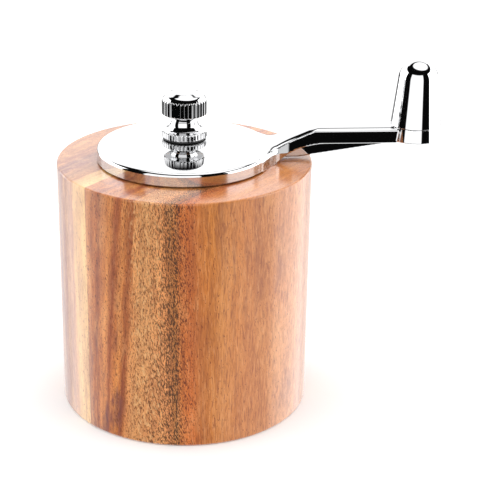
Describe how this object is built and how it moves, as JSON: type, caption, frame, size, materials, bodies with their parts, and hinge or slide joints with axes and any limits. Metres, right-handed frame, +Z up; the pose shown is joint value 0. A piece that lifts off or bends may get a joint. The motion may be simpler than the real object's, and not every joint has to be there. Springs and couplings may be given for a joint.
{
  "type": "burr coffee grinder",
  "caption": "Hand-cranked conical burr coffee grinder with a turned laminated wood body, polished metal crank lid, tapered knob and knurled adjusting nut.",
  "frame": {"origin": "centre of the overall footprint, on the plane the grinder stands on; the spindle axis is at x = -20.325 mm, y = 0", "axes": "+Z up along the spindle axis, +X from the spindle towards the knob, +Y to the left of the crank arm when looking out along it"},
  "size_m": [0.1206, 0.08, 0.1117],
  "materials": {
    "wood": "satin lacquer over laminated reddish-brown and tan staves",
    "chrome": "mirror-polished plating",
    "burr_steel": "ground and tempered steel",
    "cast_zinc": "as-cast satin zinc alloy",
    "plated_steel": "bright zinc plated",
    "spring_steel": "drawn spring wire",
    "bronze": "sintered, oiled",
    "black_nylon": "moulded matt",
    "white_nylon": "moulded satin"
  },
  "bodies": {
    "body": {"wooden_body": "wood", "burr_carrier": "cast_zinc", "outer_burr": "burr_steel", "retaining_plate": "plated_steel", "bearing_bridge": "cast_zinc", "bearing_bush": "bronze", "base_screw_1": "plated_steel", "base_screw_2": "plated_steel", "base_screw_3": "plated_steel", "burr_spring": "spring_steel"},
    "lid_ring": {"glide_ring": "black_nylon"},
    "crank": {"crank": "chrome", "drive_bush": "plated_steel", "nut_washer": "black_nylon", "knob_washer": "black_nylon", "knob_bush": "white_nylon"},
    "thumb_nut": {"thumb_nut": "chrome"},
    "knob": {"knob": "chrome", "knob_screw": "plated_steel"},
    "burr_lift": {"thrust_washer": "plated_steel"},
    "spindle": {"spindle": "plated_steel", "inner_burr": "burr_steel", "burr_washer": "plated_steel", "burr_screw": "plated_steel", "retaining_clip": "spring_steel"}
  },
  "joints": [
    {"name": "lid_lift", "type": "slide", "parent": "body", "child": "lid_ring", "axis": [0, 0, 1], "range_m": [0, 0.04]},
    {"name": "crank_spin", "type": "hinge", "parent": "lid_ring", "child": "crank", "pos_m": [-0.02032, 0, 0.084], "axis": [0, 0, 1], "continuous": true},
    {"name": "nut_turn", "type": "hinge", "parent": "crank", "child": "thumb_nut", "pos_m": [-0.02032, 0, 0.095], "axis": [0, 0, 1], "range_deg": [-180, 720]},
    {"name": "knob_spin", "type": "hinge", "parent": "crank", "child": "knob", "pos_m": [0.05198, 0, 0.1], "axis": [0, 0, 1], "continuous": true},
    {"name": "burr_adjust", "type": "slide", "parent": "body", "child": "burr_lift", "axis": [0, 0, 1], "range_m": [-0.0016, 0.0004], "deforming": ["burr_spring"]},
    {"name": "spindle_spin", "type": "hinge", "parent": "burr_lift", "child": "spindle", "pos_m": [-0.02032, 0, 0.05], "axis": [0, 0, 1], "continuous": true}
  ],
  "couplings": [
    {"joint": "nut_turn", "follows": "burr_adjust", "rad_per_m": -7853.9},
    {"joint": "spindle_spin", "follows": "crank_spin", "ratio": 1}
  ]
}
